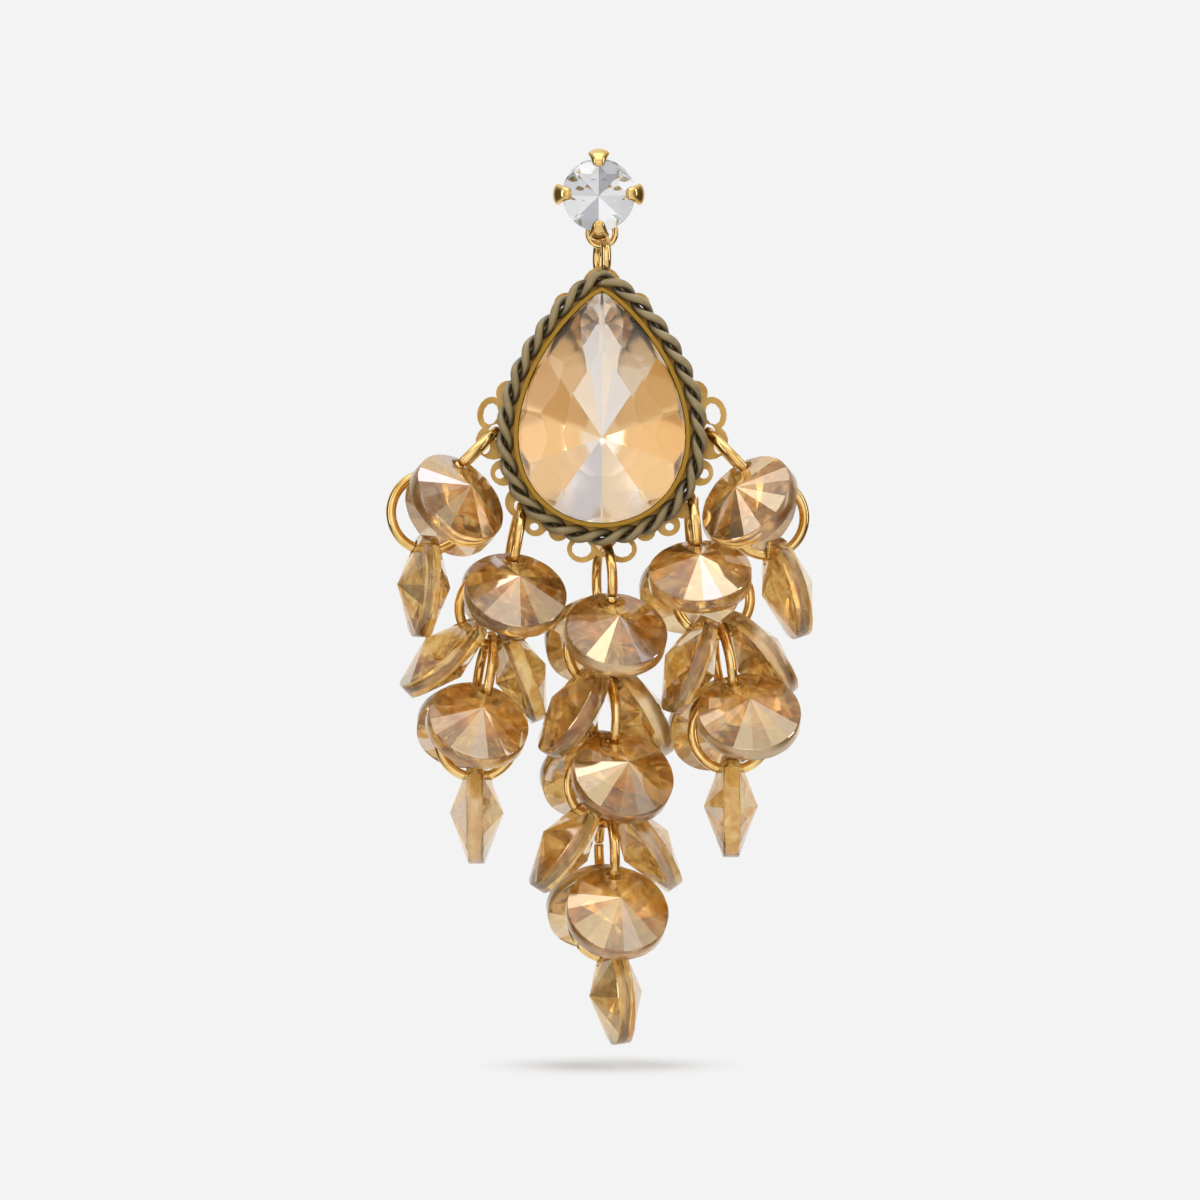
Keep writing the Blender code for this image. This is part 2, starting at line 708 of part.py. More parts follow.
make_stud()
make_stud_stone()
hang_on(make_top_ring(), ring_pivot)
hang_on(make_plate(), pendant_pivot)
hang_on(make_pear_stone(), pendant_pivot)
hang_on(make_twist("twist_wire_a", 0.0), pendant_pivot)
hang_on(make_twist("twist_wire_b", math.pi), pendant_pivot)

link = link_mesh("link", LINK_RADIUS, LINK_WIRE)
glass_drop = make_drop_mesh()
glass_drop.materials.clear()
glass_drop.materials.append(CHAMPAGNE_GLASS)
for strand_row in STRANDS:
    hang_on(make_chain(strand_row, link), pendant_pivot)
    for piece in make_drops(strand_row, glass_drop):
        hang_on(piece, pendant_pivot)
bpy.context.view_layer.update()
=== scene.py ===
"""Looks of a chandelier earring with a pear stone and five strands of pointed glass drops.

Metres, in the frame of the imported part: +Z up, seen from the -Y side, the origin where the ear
post meets the stud.  The wires, rings, claws and drops are surfaces worked out with numpy, and
the stones and the pierced plate are the part's own nodes with better materials.
"""
import math

import bpy
import numpy as np
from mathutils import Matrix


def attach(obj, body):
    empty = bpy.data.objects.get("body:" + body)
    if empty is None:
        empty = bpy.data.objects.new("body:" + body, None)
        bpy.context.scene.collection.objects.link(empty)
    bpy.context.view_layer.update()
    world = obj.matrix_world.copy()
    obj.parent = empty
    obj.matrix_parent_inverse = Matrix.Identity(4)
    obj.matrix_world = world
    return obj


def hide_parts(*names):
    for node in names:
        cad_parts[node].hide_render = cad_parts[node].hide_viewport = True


bl_info = {
    "name": "Chandelier Earring",
    "version": (1, 0, 0),
    "blender": (4, 5, 0),
    "location": "3D View > Sidebar > Earring",
    "description": "Dresses the packed earring and sets it in a pale studio",
    "category": "Add Mesh",
}

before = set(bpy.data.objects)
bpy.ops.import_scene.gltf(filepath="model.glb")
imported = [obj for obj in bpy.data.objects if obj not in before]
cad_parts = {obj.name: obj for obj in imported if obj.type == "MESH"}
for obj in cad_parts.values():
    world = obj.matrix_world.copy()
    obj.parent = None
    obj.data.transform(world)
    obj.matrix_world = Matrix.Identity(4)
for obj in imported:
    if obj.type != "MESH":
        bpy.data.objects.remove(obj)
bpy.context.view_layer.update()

MM = 0.001

# Sizes that the part and these pieces share
SEAT_GAP = 0.06 * MM
HANG_X = 0.25 * MM
HANG_Y = -0.5 * MM
STUD_RADIUS = 2.85 * MM
STUD_DEPTH = 2.3 * MM
STUD_GIRDLE = 0.25 * MM
STUD_BASE_THICKNESS = 0.5 * MM
STUD_GALLERY_SHARE = 0.55
STUD_GALLERY_WIRE = 0.6 * MM
STUD_LOOP_DROP = 2.8 * MM
STUD_LOOP_RADIUS = 1.05 * MM
STUD_LOOP_WIRE = 0.5 * MM
PRONG_ROOT = 0.95 * MM
PRONG_REACH = 0.75 * MM
PRONG_LEAN = math.radians(46)
PRONG_PLAY = 0.2 * MM
PRONG_TIP = 0.96 * MM
TOP_RING_RADIUS = 1.65 * MM
TOP_RING_Z = -4.75 * MM
TOP_RING_TURN = 12
PEAR_WIDTH = 13.0 * MM
PEAR_HEIGHT = 18.0 * MM
PEAR_POINT = 0.65
PEAR_TOP_Z = -7.6 * MM
PEAR_GIRDLE_Y = -3.22 * MM
TWIST_SPREAD = 0.36 * MM
TWIST_TURNS = 14
TWIST_Y = -2.84 * MM
TWIST_OFFSET = 1.1 * MM
LINK_RADIUS = 3.0 * MM
LINK_PITCH = 5.3 * MM
DROP_ARM = 2.9 * MM
DROP_RISE = 0.1 * MM
DROP_HOLE_RADIUS = 0.7 * MM
DROP_FACETS = 16
STUD_GIRDLE_Y = -(STUD_BASE_THICKNESS + SEAT_GAP + STUD_DEPTH + STUD_GIRDLE / 2)
PEAR_Z = PEAR_TOP_Z - PEAR_HEIGHT / 2

# Sizes of these pieces alone
CLAW_SHANK = 0.32 * MM
CLAW_BESIDE = 0.34 * MM
CLAW_BEND_BEHIND = 0.3 * MM
CLAW_BEND_AHEAD = 0.55 * MM
CLAW_TOE = 0.5 * MM
CLAW_TOE_RISE = 0.1 * MM
DROP_TIP = 0.03 * MM
DROP_EDGE_INSET = 0.05 * MM
DROP_EDGE_SINK = 0.03 * MM
STUD_FOIL_BEHIND = 0.05 * MM
PEAR_FOIL_AHEAD = 0.1 * MM

# Places of the slits round the rings, in degrees, the step from link to link, and the share
# of the wire's thickness at the two ends beside a slit
TOP_RING_SLIT = 205
LINK_SLIT = 70
LINK_SLIT_STEP = 47
SLIT_PINCH = 0.86

# Steps along the path of a ring, in a turn of the border and round the pear's outline, the
# small angle that gives the outline's direction, and how often a claw's corners are cut off
RING_STEPS = 96
TWIST_STEPS = 36
OUTLINE_STEPS = 1440
OUTLINE_NUDGE = 0.001
CLAW_CUTS = 4

# Mends of the plate's packed triangles: corners nearer than this become one, faces that
# differ by less than this become one, and edges sharper than this are softened
PLATE_WELD = 0.002 * MM
PLATE_FLAT = math.radians(0.5)
PLATE_SHARP = math.radians(50)

# Faces of a drop: a face is upright, as on the band and in the wire hole, when its normal rises
# less than this; the band starts at this share of the radius; an upright face has this share
# of a facet's mirror; and the seed gives every facet its chance value
DROP_UPRIGHT = 0.6
DROP_BAND_FROM = 0.9
DROP_UPRIGHT_MIRROR = 0.6
DROP_SEED = 7

# Stage: the middle of the view, the floor under the lowest drop and the patch that takes its
# shadow, and then the paper sweep: the hole in its floor, where the floor ends, the radius of
# its bends, the height of its wall and the hole in its top
VIEW_MIDDLE = (0.1 * MM, -3 * MM, -31.6 * MM)
STAGE_FLOOR_Z = -68.2 * MM
PATCH_MIDDLE = (1.0 * MM, -0.5 * MM, STAGE_FLOOR_Z)
PATCH_EDGE = 11 * MM
PATCH_CORE = 4 * MM
SWEEP_FLOOR_HOLE = 10 * MM
SWEEP_FLOOR = 400 * MM
SWEEP_BEND = 300 * MM
SWEEP_WALL = 500 * MM
SWEEP_TOP_HOLE = 100 * MM

# Lights: place, width and height in metres, and watts
LIGHTS = {
    "front_softbox": ((0.0, -0.48, 0.06), 0.42, 0.42, 0.2),
    "top_softbox": ((0.0, -0.12, 0.42), 0.5, 0.4, 0.7),
    "left_strip": ((-0.4, -0.2, 0.05), 0.1, 0.5, 0.35),
    "right_strip": ((0.42, -0.1, 0.12), 0.08, 0.4, 0.35),
}

# Base and post behind the stone, as a turned profile: radius and distance back, in mm
STUD_PROFILE = (
    (0.3, -0.5),
    (1.78, -0.5),
    (1.87, -0.46),
    (1.9, -0.38),
    (1.9, -0.1),
    (1.87, -0.03),
    (1.8, 0.0),
    (0.62, 0.0),
    (0.46, 0.06),
    (0.4, 0.2),
    (0.4, 7.7),
    (0.33, 7.85),
    (0.33, 8.15),
    (0.4, 8.3),
    (0.4, 9.45),
    (0.36, 9.75),
    (0.24, 9.93),
    (0.08, 10.0),
)

# A claw from root to toe: share of the way, half the width and half the thickness, in mm
CLAW_PROFILE = (
    (0.0, 0.34, 0.32),
    (0.45, 0.36, 0.32),
    (0.62, 0.7, 0.34),
    (0.75, 0.84, 0.36),
    (0.88, 0.6, 0.36),
    (0.96, 0.46, 0.3),
    (0.99, 0.3, 0.2),
    (1.0, 0.1, 0.08),
)

# Strands: the hole in the plate across from the hang line and down from the pear's top, as
# shares of the pear's width and height, then the push to the front, the lean of each link and
# the turn of each link, in degrees.
STRANDS = {
    "outer_left": (-0.6385, 0.6, 6, (-46, -36), (0, -10)),
    "inner_left": (-0.4846, 0.9222, -6, (-11, -15, -11, -7), (-5, -10, -10, 0)),
    "centre": (0.0115, 1.0889, 0, (1, 0, 0, 1, 1, 2), (-12, -18, -18, -12, -12, -12)),
    "inner_right": (0.5308, 0.8778, 2, (5, 17, 9, 6), (-4, -14, -10, 0)),
    "outer_right": (0.6385, 0.6, -6, (44, 30), (0, -10)),
}

# Drops of each strand: link, side, how far up the link, and the swing, in degrees
DROPS = {
    "outer_left": ((0, "front", 54, -20), (0, "back", 44, 16), (1, "left", 4, 0)),
    "inner_left": (
        (0, "front", 45, -5),
        (0, "back", 46, 0),
        (1, "left", 48, 0),
        (1, "right", 21, 22),
        (2, "front", 44, -24),
        (2, "back", 42, 14),
        (3, "left", 0, 0),
    ),
    "centre": (
        (0, "front", 45, 0),
        (0, "back", 38, 0),
        (1, "left", 31, 22),
        (1, "right", 30, 6),
        (2, "front", 37, 6),
        (2, "back", 38, 0),
        (3, "left", 34, 0),
        (3, "right", 34, 0),
        (4, "front", 38, 0),
        (4, "back", 40, 0),
        (5, "right", 5, 0),
    ),
    "inner_right": (
        (0, "front", 54, 5),
        (0, "back", 40, 0),
        (1, "left", 22, 17),
        (1, "right", 39, 0),
        (2, "front", 44, 24),
        (2, "back", 34, -1),
        (3, "left", 0, 0),
    ),
    "outer_right": ((0, "front", 52, 24), (0, "back", 44, -16), (1, "right", 16, 0)),
}

UP = np.array((0.0, 0.0, 1.0))
FRONT = np.array((0.0, -1.0, 0.0))
ACROSS = np.array((1.0, 0.0, 0.0))


def linear(code):
    """An sRGB hex colour as linear red, green, blue and alpha."""
    parts = np.array([int(code[i : i + 2], 16) for i in (1, 3, 5)]) / 255
    straight = np.where(parts <= 0.04045, parts / 12.92, ((parts + 0.055) / 1.055) ** 2.4)
    return (*straight.tolist(), 1.0)


class EarringMetal(bpy.types.PropertyGroup):
    """Sizes and colours of the metalwork."""

    link_wire: bpy.props.FloatProperty(
        name="Link wire",
        description="Thickness of the jump ring wire",
        default=0.8 * MM,
        unit="LENGTH",
    )
    link_cut: bpy.props.FloatProperty(
        name="Link cut",
        description="Width of the slit where each jump ring was closed",
        default=0.1 * MM,
        unit="LENGTH",
    )
    twist_wire: bpy.props.FloatProperty(
        name="Border wire",
        description="Thickness of the two wires of the twisted border",
        default=0.66 * MM,
        unit="LENGTH",
    )
    edge: bpy.props.FloatProperty(
        name="Plate edge",
        description="Width of the softened edges of the pierced plate",
        default=0.09 * MM,
        unit="LENGTH",
    )
    gold: bpy.props.FloatVectorProperty(
        name="Gold",
        description="Colour of the polished plating",
        size=4,
        default=linear("#f3d596"),
        subtype="COLOR",
    )
    deep_gold: bpy.props.FloatVectorProperty(
        name="Deep gold",
        description="Colour of the plating where it is thickest",
        size=4,
        default=linear("#ddb062"),
        subtype="COLOR",
    )
    satin_gold: bpy.props.FloatVectorProperty(
        name="Satin gold",
        description="Colour of the satin plate",
        size=4,
        default=linear("#c19d60"),
        subtype="COLOR",
    )
    khaki: bpy.props.FloatVectorProperty(
        name="Khaki",
        description="Colour of the lacquer on the twisted border",
        size=4,
        default=linear("#8d7849"),
        subtype="COLOR",
    )


class EarringGlass(bpy.types.PropertyGroup):
    """Sizes and colours of the stones and drops."""

    drop_width: bpy.props.FloatProperty(
        name="Drop width",
        description="Diameter of the pointed glass drops",
        default=8.0 * MM,
        unit="LENGTH",
    )
    drop_girdle: bpy.props.FloatProperty(
        name="Drop band",
        description="Height of the straight band round a drop",
        default=1.3 * MM,
        unit="LENGTH",
    )
    drop_cone: bpy.props.FloatProperty(
        name="Drop point",
        description="Height of each pointed side of a drop",
        default=1.47 * MM,
        unit="LENGTH",
    )
    amber: bpy.props.FloatVectorProperty(
        name="Amber",
        description="Colour in the depth of the drops",
        size=4,
        default=linear("#fad384"),
        subtype="COLOR",
    )
    coat: bpy.props.FloatVectorProperty(
        name="Half mirror",
        description="Main colour of the half mirror on the drops",
        size=4,
        default=linear("#f2e0c8"),
        subtype="COLOR",
    )
    peach: bpy.props.FloatVectorProperty(
        name="Peach",
        description="Main colour of the pear stone",
        size=4,
        default=linear("#fdeedb"),
        subtype="COLOR",
    )
    clear: bpy.props.FloatVectorProperty(
        name="Clear",
        description="Colour of the stud stone",
        size=4,
        default=linear("#f4f4f4"),
        subtype="COLOR",
    )


class EarringStage(bpy.types.PropertyGroup):
    """Floor, light and camera."""

    floor: bpy.props.FloatVectorProperty(
        name="Floor",
        description="Colour of the floor and wall",
        size=4,
        default=linear("#f3f3f3"),
        subtype="COLOR",
    )
    lens: bpy.props.FloatProperty(
        name="Lens",
        description="Focal length of the camera in millimetres",
        default=160.0,
    )
    view_width: bpy.props.FloatProperty(
        name="View width",
        description="Width of what the camera sees at the pear stone",
        default=93.6 * MM,
        unit="LENGTH",
    )


def unit(vectors):
    """Vectors of the same directions and length one."""
    return vectors / np.linalg.norm(vectors, axis=-1, keepdims=True)


def spin(vector, axis, degrees):
    """A vector turned round an axis: its part along the axis stays, the rest turns."""
    angle = math.radians(degrees)
    kept = axis * np.dot(axis, vector) * (1 - math.cos(angle))
    return vector * math.cos(angle) + np.cross(axis, vector) * math.sin(angle) + kept


def tube(path, radius, reference, sides=20, closed=False, way=None):
    """A wire: every point of the path plus the radius times the cosine and the sine of the
    angle round it, along two directions square to the path.  The radius may have a column
    for each of the two directions."""
    path = np.asarray(path, float)
    if way is not None:
        along = np.broadcast_to(unit(np.asarray(way, float)), path.shape)
    elif closed:
        along = unit(np.roll(path, -1, 0) - np.roll(path, 1, 0))
    else:
        along = unit(np.gradient(path, axis=0))
    reference = np.broadcast_to(reference, path.shape)
    first = unit(reference - along * np.sum(reference * along, 1, keepdims=True))
    second = np.cross(along, first)
    radius = np.asarray(radius, float)
    if radius.ndim < 2:
        radius = np.stack((np.broadcast_to(radius, len(path)),) * 2, 1)
    angle = np.linspace(0, 2 * np.pi, sides, endpoint=False)[None, :, None]
    wide = radius[:, 0, None, None] * first[:, None]
    high = radius[:, 1, None, None] * second[:, None]
    return path[:, None] + np.cos(angle) * wide + np.sin(angle) * high, closed


def ring(centre, first, second, radius, wire, cut=0.0, cut_at=0.0):
    """A jump ring: centre plus radius times the cosine and sine of the angle along two
    directions, as the path of a wire, which stops short of a full turn by the cut.  The
    two ends beside the cut are a little thinner, as pinched by the cutter."""
    gap = cut / radius
    if cut:
        angle = np.linspace(gap / 2, 2 * np.pi - gap / 2, RING_STEPS) + math.radians(cut_at)
    else:
        angle = np.linspace(0, 2 * np.pi, RING_STEPS, endpoint=False)
    way_out = np.cos(angle)[:, None] * first + np.sin(angle)[:, None] * second
    thick = np.full(RING_STEPS, wire / 2)
    if cut:
        thick[[0, -1]] *= SLIT_PINCH
    return tube(centre + radius * way_out, thick, way_out, closed=not cut)


def new_object(name, shells, flat=False, marks=None):
    """One object from grids of points.  The quads of a grid join neighbours in both
    directions, and the two ends of an open grid are closed by one face each.  Marks are
    named values, one for each point."""
    points, faces, start = [], [], 0
    for grid, closed in shells:
        rows, columns = grid.shape[:2]
        index = np.arange(rows * columns).reshape(rows, columns) + start
        beside = np.roll(index, -1, 1)
        ahead, both = np.roll(index, -1, 0), np.roll(beside, -1, 0)
        quads = np.stack((index, beside, both, ahead), -1)
        if not closed:
            quads = quads[:-1]
            faces += [index[0, ::-1].tolist(), index[-1].tolist()]
        faces += quads.reshape(-1, 4).tolist()
        points.append(grid.reshape(-1, 3))
        start += rows * columns
    mesh = bpy.data.meshes.new(name)
    mesh.from_pydata(np.concatenate(points), [], faces)
    sizes = np.empty(len(mesh.polygons), np.int32)
    mesh.polygons.foreach_get("loop_total", sizes)
    mesh.polygons.foreach_set("use_smooth", (sizes == 4) & (not flat))
    for mark, values in (marks or {}).items():
        mesh.attributes.new(mark, "FLOAT", "POINT").data.foreach_set("value", values)
    made = bpy.data.objects.new(name, mesh)
    bpy.context.scene.collection.objects.link(made)
    return made


def new_piece(name, shells, body, material, replaced, marks=None):
    """A surface that rides on a body, in the place of a node of the part."""
    made = new_object(name, shells, marks=marks)
    made.data.materials.append(material)
    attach(made, body)
    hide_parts(replaced)
    return made


def add_node(tree, kind, sockets=None, stops=None, **settings):
    """Adds a node with its settings.  A socket gets a value, or the output that feeds it,
    and a ramp gets its stops as pairs of place and colour."""
    made = tree.nodes.new(kind)
    for name, value in settings.items():
        setattr(made, name, value)
    for key, value in (sockets or {}).items():
        if isinstance(value, bpy.types.NodeSocket):
            tree.links.new(value, made.inputs[key])
        else:
            made.inputs[key].default_value = value
    for i, (place, colour) in enumerate(stops or ()):
        element = made.color_ramp.elements[i] if i < 2 else made.color_ramp.elements.new(place)
        element.position = place
        element.color = colour
    return made


def new_material(name):
    """An empty node material and its tree."""
    made = bpy.data.materials.new(name)
    made.use_nodes = True
    made.node_tree.nodes.clear()
    return made, made.node_tree


def give_output(tree, shader):
    """Ends a material with a shader."""
    add_node(tree, "ShaderNodeOutputMaterial", {"Surface": shader.outputs[0]})


def plated_gold(name, light, deep, roughness, grain):
    """Gold-plated brass: warm mirror-like metal.  Cloudy patches of thicker plating are a
    little deeper in colour, and a fine unevenness of the polish breaks the reflections."""
    made, tree = new_material(name)
    place = add_node(tree, "ShaderNodeTexCoord").outputs["Object"]
    cloud = add_node(
        tree, "ShaderNodeTexNoise", {"Vector": place, "Scale": 1 / (1.6 * MM), "Detail": 3.0}
    )
    tint = add_node(
        tree,
        "ShaderNodeValToRGB",
        {"Fac": cloud.outputs["Fac"]},
        stops=((0.35, tuple(light)), (0.7, tuple(deep))),
    )
    scuff = add_node(
        tree, "ShaderNodeTexNoise", {"Vector": place, "Scale": 1 / (0.35 * MM), "Detail": 4.0}
    )
    rough = add_node(
        tree,
        "ShaderNodeMapRange",
        {"Value": scuff.outputs["Fac"], "To Min": roughness * 0.6, "To Max": roughness * 1.5},
    )
    bump = add_node(
        tree,
        "ShaderNodeBump",
        {"Height": scuff.outputs["Fac"], "Strength": grain, "Distance": 0.02 * MM},
    )
    shader = add_node(
        tree,
        "ShaderNodeBsdfPrincipled",
        {
            "Base Color": tint.outputs["Color"],
            "Metallic": 1.0,
            "Roughness": rough.outputs["Result"],
            "Normal": bump.outputs["Normal"],
        },
    )
    give_output(tree, shader)
    return made


def satin_plate_gold(metal):
    """Gold-plated brass, satin on the flat plate and polished on the rim of the stone cup,
    which stands to the front: the plate scatters light, and the rim shows a deep yellow."""
    made, tree = new_material("satin_gold_plated_brass")
    place = add_node(tree, "ShaderNodeTexCoord").outputs["Object"]
    parts = add_node(tree, "ShaderNodeSeparateXYZ", {"Vector": place})
    forward = add_node(
        tree,
        "ShaderNodeMapRange",
        {"Value": parts.outputs["Y"], "From Min": -1.2 * MM, "From Max": -2.4 * MM},
    )
    cloud = add_node(
        tree, "ShaderNodeTexNoise", {"Vector": place, "Scale": 1 / (1.2 * MM), "Detail": 4.0}
    )
    satin = add_node(
        tree,
        "ShaderNodeValToRGB",
        {"Fac": cloud.outputs["Fac"]},
        stops=((0.3, tuple(metal.satin_gold)), (0.7, linear("#a67f3e"))),
    )
    tint = add_node(
        tree,
        "ShaderNodeMixRGB",
        {
            "Fac": forward.outputs["Result"],
            "Color1": satin.outputs["Color"],
            "Color2": linear("#94702a"),
        },
    )
    grit = add_node(
        tree, "ShaderNodeTexNoise", {"Vector": place, "Scale": 1 / (0.12 * MM), "Detail": 3.0}
    )
    rough = add_node(
        tree,
        "ShaderNodeMapRange",
        {"Value": forward.outputs["Result"], "To Min": 0.34, "To Max": 0.15},
    )
    bump = add_node(
        tree,
        "ShaderNodeBump",
        {"Height": grit.outputs["Fac"], "Strength": 0.25, "Distance": 0.015 * MM},
    )
    shader = add_node(
        tree,
        "ShaderNodeBsdfPrincipled",
        {
            "Base Color": tint.outputs["Color"],
            "Metallic": 1.0,
            "Roughness": rough.outputs["Result"],
            "Normal": bump.outputs["Normal"],
        },
    )
    give_output(tree, shader)
    return made


def khaki_lacquer(metal):
    """Khaki enamel lacquer over brass wire: matte and even, a little worn and mottled, under a
    thin clear coat that gives small white glints where the wire turns outwards. Where each wire
    turns in towards the other, the colour goes to a dark brown: painted shade in the crevice of
    the twist."""
    made, tree = new_material("khaki_lacquer")
    place = add_node(tree, "ShaderNodeTexCoord").outputs["Object"]
    mottle = add_node(
        tree, "ShaderNodeTexNoise", {"Vector": place, "Scale": 1 / (0.9 * MM), "Detail": 5.0}
    )
    dull = tuple(0.7 * c for c in metal.khaki[:3]) + (1.0,)
    paint = add_node(
        tree,
        "ShaderNodeValToRGB",
        {"Fac": mottle.outputs["Fac"]},
        stops=((0.28, dull), (0.6, tuple(metal.khaki))),
    )
    # Painted shade: the side of each wire that faces the middle of the border, where the two
    # wires meet, is painted dark brown
    outward = add_node(tree, "ShaderNodeAttribute", attribute_name="outward")
    clear_of_painted_shade = add_node(
        tree,
        "ShaderNodeMapRange",
        {"Value": outward.outputs["Fac"], "From Min": 0.55, "From Max": 0.8},
    )
    tint = add_node(
        tree,
        "ShaderNodeMixRGB",
        {
            "Fac": clear_of_painted_shade.outputs["Result"],
            "Color1": linear("#3b2f17"),
            "Color2": paint.outputs["Color"],
        },
    )
    bump = add_node(
        tree,
        "ShaderNodeBump",
        {"Height": mottle.outputs["Fac"], "Strength": 0.4, "Distance": 0.05 * MM},
    )
    shader = add_node(
        tree,
        "ShaderNodeBsdfPrincipled",
        {
            "Base Color": tint.outputs["Color"],
            "Roughness": 0.5,
            "Coat Weight": 1.0,
            "Coat Roughness": 0.08,
            "Normal": bump.outputs["Normal"],
        },
    )
    give_output(tree, shader)
    return made


def foil_backed_stone(name, glass, foils, foil_from, variety, blur):
    """Cut glass with a mirror foil behind it: clear towards the front, and from a depth on a
    mirror whose tint changes from facet to facet, which makes the stone sparkle."""
    made, tree = new_material(name)
    coords = add_node(tree, "ShaderNodeTexCoord")
    parts = add_node(tree, "ShaderNodeSeparateXYZ", {"Vector": coords.outputs["Object"]})
    behind = add_node(
        tree,
        "ShaderNodeMath",
        {0: parts.outputs["Y"], 1: foil_from},
        operation="GREATER_THAN",
    )
    facet = add_node(
        tree,
        "ShaderNodeTexNoise",
        {"Vector": coords.outputs["Normal"], "Scale": variety, "Detail": 0.0},
    )
    tint = add_node(tree, "ShaderNodeValToRGB", {"Fac": facet.outputs["Fac"]}, stops=foils)
    foil = add_node(
        tree,
        "ShaderNodeBsdfPrincipled",
        {
            "Base Color": tint.outputs["Color"],
            "Metallic": 0.92,
            "Roughness": blur,
        },
    )
    clear = add_node(
        tree,
        "ShaderNodeBsdfPrincipled",
        {
            "Base Color": tuple(glass),
            "Roughness": 0.01,
            "IOR": 1.46,
            "Transmission Weight": 1.0,
        },
    )
    both = add_node(
        tree,
        "ShaderNodeMixShader",
        {0: behind.outputs[0], 1: clear.outputs[0], 2: foil.outputs[0]},
    )
    give_output(tree, both)
    return made


def half_mirrored_glass(glass):
    """Amber pressed glass, cut and given a thin half mirror: each facet returns a pale peach
    or lilac sheen, the amber shows between, and the band round the drop is a little satin."""
    made, tree = new_material("half_mirrored_amber_glass")
    coords = add_node(tree, "ShaderNodeTexCoord")
    facet = add_node(tree, "ShaderNodeAttribute", attribute_name="facet")
    band = add_node(tree, "ShaderNodeAttribute", attribute_name="band")
    streak = add_node(
        tree,
        "ShaderNodeTexNoise",
        {
            "Vector": coords.outputs["Object"],
            "Scale": 1 / (1.5 * MM),
            "Detail": 4.0,
            "Distortion": 1.2,
        },
    )
    sheen = add_node(
        tree,
        "ShaderNodeValToRGB",
        {"Fac": facet.outputs["Fac"]},
        stops=(
            (0.0, linear("#e9dfe0")),
            (0.4, tuple(glass.coat)),
            (0.7, linear("#f4dfb6")),
            (1.0, linear("#ddd6dc")),
        ),
    )
    dull = add_node(
        tree, "ShaderNodeMapRange", {"Value": band.outputs["Fac"], "To Min": 0.09, "To Max": 0.32}
    )
    mirror = add_node(
        tree,
        "ShaderNodeBsdfPrincipled",
        {
            "Base Color": sheen.outputs["Color"],
            "Metallic": 1.0,
            "Roughness": dull.outputs["Result"],
        },
    )
    body = add_node(
        tree,
        "ShaderNodeValToRGB",
        {"Fac": streak.outputs["Fac"]},
        stops=((0.36, linear("#cd8828")), (0.6, tuple(glass.amber))),
    )
    amber = add_node(
        tree,
        "ShaderNodeBsdfPrincipled",
        {
            "Base Color": body.outputs["Color"],
            "Roughness": 0.04,
            "IOR": 1.52,
            "Transmission Weight": 0.88,
        },
    )
    share = add_node(
        tree,
        "ShaderNodeMapRange",
        {
            "Value": facet.outputs["Fac"],
            "From Min": 0.3,
            "From Max": 0.7,
            "To Min": 0.05,
            "To Max": 0.64,
        },
    )
    both = add_node(
        tree,
        "ShaderNodeMixShader",
        {0: share.outputs["Result"], 1: amber.outputs[0], 2: mirror.outputs[0]},
    )
    give_output(tree, both)
    return made


def facet_numbers(template, glass):
    """The number of the facet that each face of the template belongs to, from the direction
    of its normal, and which faces are upright and which of those lie on the band."""
    normals = np.empty(len(template.polygons) * 3)
    template.polygons.foreach_get("normal", normals)
    centres = np.empty(len(template.polygons) * 3)
    template.polygons.foreach_get("center", centres)
    normals, centres = normals.reshape(-1, 3), centres.reshape(-1, 3)
    upright = np.abs(normals[:, 2]) < DROP_UPRIGHT
    rim = np.hypot(centres[:, 0], centres[:, 1]) > DROP_BAND_FROM * glass.drop_width / 2
    around = np.arctan2(normals[:, 1], normals[:, 0]) / (2 * np.pi) * DROP_FACETS
    number = np.floor(around) % DROP_FACETS + DROP_FACETS * (normals[:, 2] > 0)
    return np.where(upright, 0, number).astype(int), upright, upright & rim


def drop_place(link, side, hang, swing):
    """Where a drop hangs on its link.  Its wire hole is up the link from the lowest spot by
    the hang angle, its axis follows the wire there, and its arm hangs down from the hole,
    turned by the swing.  Gives the middle and the directions of the drop's own axes."""
    centre, way_down, across = link
    through = np.cross(way_down, across)
    lowest = unit(through * through[2] - UP)
    beside = np.cross(through, lowest)
    if side in ("back", "left"):
        beside = -beside
    angle = math.radians(hang)
    hole = lowest * math.cos(angle) + beside * math.sin(angle)
    axis = beside * math.cos(angle) - lowest * math.sin(angle)
    arm = spin(unit(axis * axis[2] - UP), axis, swing)
    middle = centre + hole * (LINK_RADIUS - DROP_RISE) + arm * DROP_ARM
    return middle, np.stack((-arm, np.cross(axis, -arm), axis))


def dress(node, material):
    """Gives a node of the part its material."""
    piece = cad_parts[node]
    piece.data.materials.clear()
    piece.data.materials.append(material)
    return piece


def pear_outline(count, grow):
    """Evenly spaced points round the pear, moved out.  The pear's half width at an angle is
    the sine of the angle times a power of the sine of half the angle, its height the cosine."""
    angle = np.linspace(0, 2 * np.pi, OUTLINE_STEPS + 1)

    def place(t):
        swell = np.sin(t) * np.abs(np.sin(t / 2)) ** PEAR_POINT
        return np.stack((PEAR_WIDTH / 2 * swell, PEAR_HEIGHT / 2 * np.cos(t)), 1)

    widest = np.max(place(angle)[:, 0]) / (PEAR_WIDTH / 2)
    shape = np.array((1 / widest, 1.0))
    along = unit((place(angle + OUTLINE_NUDGE) - place(angle - OUTLINE_NUDGE)) * shape)
    way_out = np.stack((-along[:, 1], along[:, 0]), 1)
    points = place(angle) * shape + way_out * grow
    run = np.concatenate(((0.0,), np.cumsum(np.linalg.norm(np.diff(points, axis=0), axis=1))))
    target = np.linspace(0, run[-1], count, endpoint=False)
    return np.stack([np.interp(target, run, points[:, i]) for i in (0, 1)], 1)


